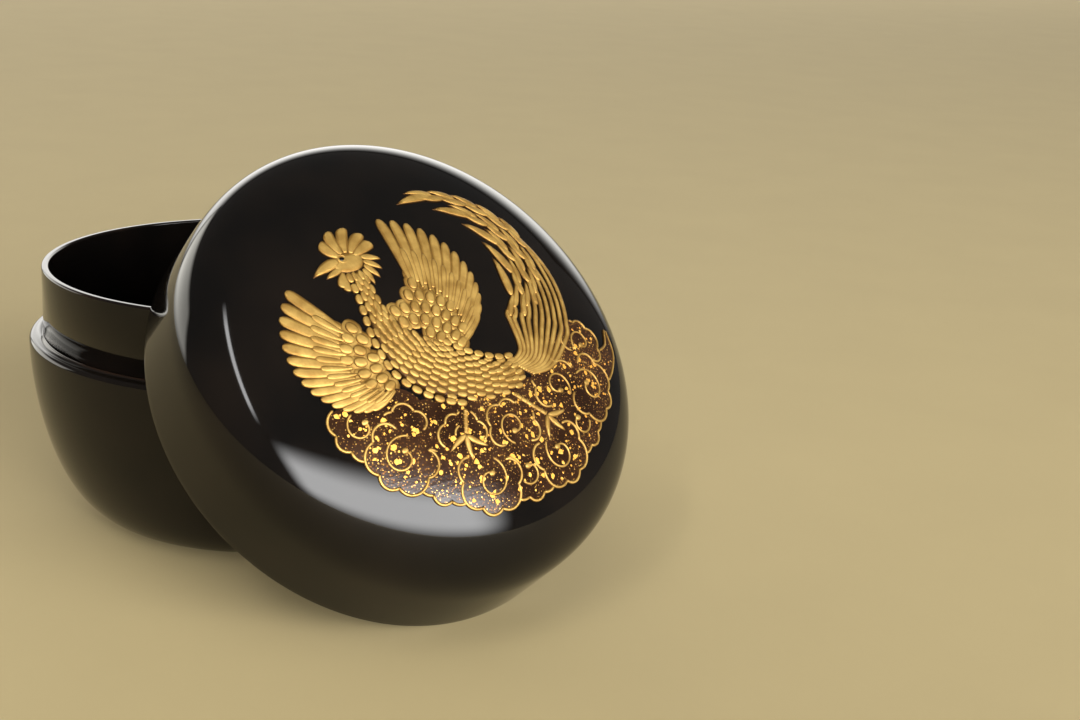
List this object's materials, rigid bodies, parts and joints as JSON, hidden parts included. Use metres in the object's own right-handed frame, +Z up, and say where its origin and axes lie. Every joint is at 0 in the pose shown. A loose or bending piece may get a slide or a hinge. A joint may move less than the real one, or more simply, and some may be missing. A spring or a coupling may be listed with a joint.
{
  "type": "tea caddy",
  "caption": "Flat round lacquered tea caddy, open, its domed lid with a raised gold bird-and-cloud picture leaning on the body.",
  "frame": {"origin": "centre of the body's flat foot, on the table", "axes": "+Z up along the body's axis; +X from the body towards the leaning lid"},
  "size_m": [0.1186, 0.082, 0.0715],
  "materials": {
    "black_lacquer": "deep black lacquer, polished to a mirror gloss",
    "turned_wood": "fine-grained turned wood, hidden under the lacquer",
    "raised_gold": "gold powder on raised lacquer, burnished satin",
    "cloud_lacquer": "dark red-brown lacquer with sprinkled gold flakes under a clear coat"
  },
  "bodies": {
    "caddy_body": {"body_outer_lacquer": "black_lacquer", "body_wood": "turned_wood", "body_inner_lacquer": "black_lacquer", "rim_collar": "black_lacquer"},
    "lid": {"lid_outer_lacquer": "black_lacquer", "lid_wood": "turned_wood", "lid_inner_lacquer": "black_lacquer", "bird_head": "raised_gold", "bird_neck": "raised_gold", "bird_body": "raised_gold", "rear_wing": "raised_gold", "front_wing": "raised_gold", "tail_plume_1": "raised_gold", "tail_plume_2": "raised_gold", "tail_plume_3": "raised_gold", "tail_plume_4": "raised_gold", "tail_plume_5": "raised_gold", "left_leg": "raised_gold", "right_leg": "raised_gold", "cloud_lines": "raised_gold", "cloud_ground": "cloud_lacquer"}
  },
  "joints": [
    {"name": "lid_lift", "type": "slide", "parent": "caddy_body", "child": "lid", "axis": [0, 0, 1], "range_m": [0, 0.1]}
  ]
}
